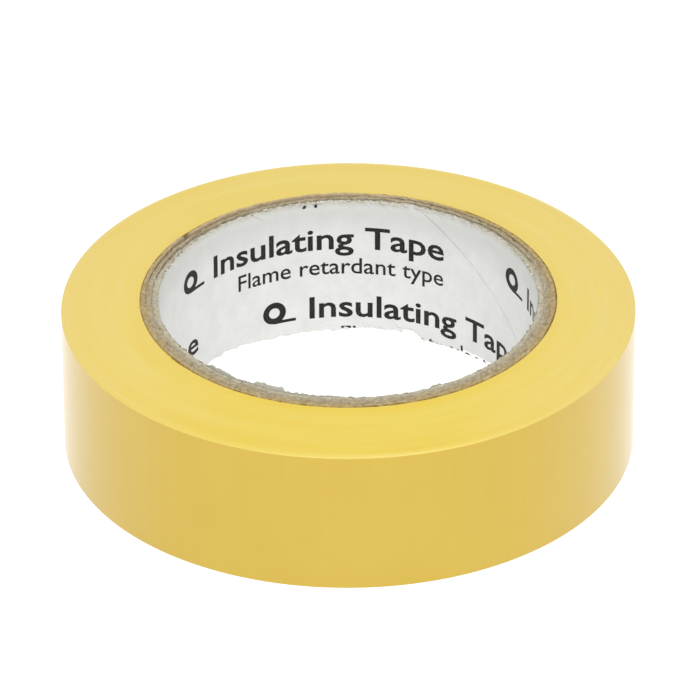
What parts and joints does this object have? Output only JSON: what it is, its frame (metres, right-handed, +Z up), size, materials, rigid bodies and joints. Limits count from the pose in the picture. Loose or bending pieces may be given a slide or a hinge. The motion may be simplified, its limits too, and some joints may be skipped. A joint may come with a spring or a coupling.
{
  "type": "electrical tape roll",
  "caption": "Narrow roll of yellow plastic electrical tape wound on a spirally wound paper core, with a free end that peels away from the roll.",
  "frame": {"origin": "middle of the face the roll rests on, on the roll's axis", "axes": "+Z up along the roll's axis; the free end of the tape lies at the back, on the +Y side"},
  "size_m": [0.0581, 0.0581, 0.0161],
  "materials": {
    "liner_paper": null,
    "kraft_board": "raw grey-brown kraft board with fibrous cut edges",
    "tape_film": "satin yellow vinyl film, glossy on its face and softer on the wound edges",
    "tape_adhesive": "thin tacky adhesive coat over the yellow film"
  },
  "bodies": {
    "roll": {"liner_ply": "liner_paper", "inner_core_ply": "kraft_board", "middle_core_ply": "kraft_board", "outer_core_ply": "kraft_board", "wound_tape": "tape_film"},
    "tail_1": {"tail_film_1": "tape_film", "tail_adhesive_1": "tape_adhesive"},
    "tail_2": {"tail_film_2": "tape_film", "tail_adhesive_2": "tape_adhesive"},
    "tail_3": {"tail_film_3": "tape_film", "tail_adhesive_3": "tape_adhesive"},
    "tail_4": {"tail_film_4": "tape_film", "tail_adhesive_4": "tape_adhesive"}
  },
  "joints": [
    {"name": "tail_peel", "type": "hinge", "parent": "roll", "child": "tail_1", "pos_m": [0.01671, 0.02387, 0.0075], "axis": [0, 0, -1], "range_deg": [0, 60]},
    {"name": "tail_bend_2", "type": "hinge", "parent": "tail_1", "child": "tail_2", "pos_m": [0.01044, 0.0272, 0.0075], "axis": [0, 0, -1], "range_deg": [0, 18]},
    {"name": "tail_bend_3", "type": "hinge", "parent": "tail_2", "child": "tail_3", "pos_m": [0.00355, 0.02892, 0.0075], "axis": [0, 0, -1], "range_deg": [0, 18]},
    {"name": "tail_bend_4", "type": "hinge", "parent": "tail_3", "child": "tail_4", "pos_m": [-0.00355, 0.02892, 0.0075], "axis": [0, 0, -1], "range_deg": [0, 18]}
  ],
  "couplings": [
    {"joint": "tail_bend_2", "follows": "tail_peel", "ratio": 0.3},
    {"joint": "tail_bend_3", "follows": "tail_peel", "ratio": 0.3},
    {"joint": "tail_bend_4", "follows": "tail_peel", "ratio": 0.3}
  ]
}
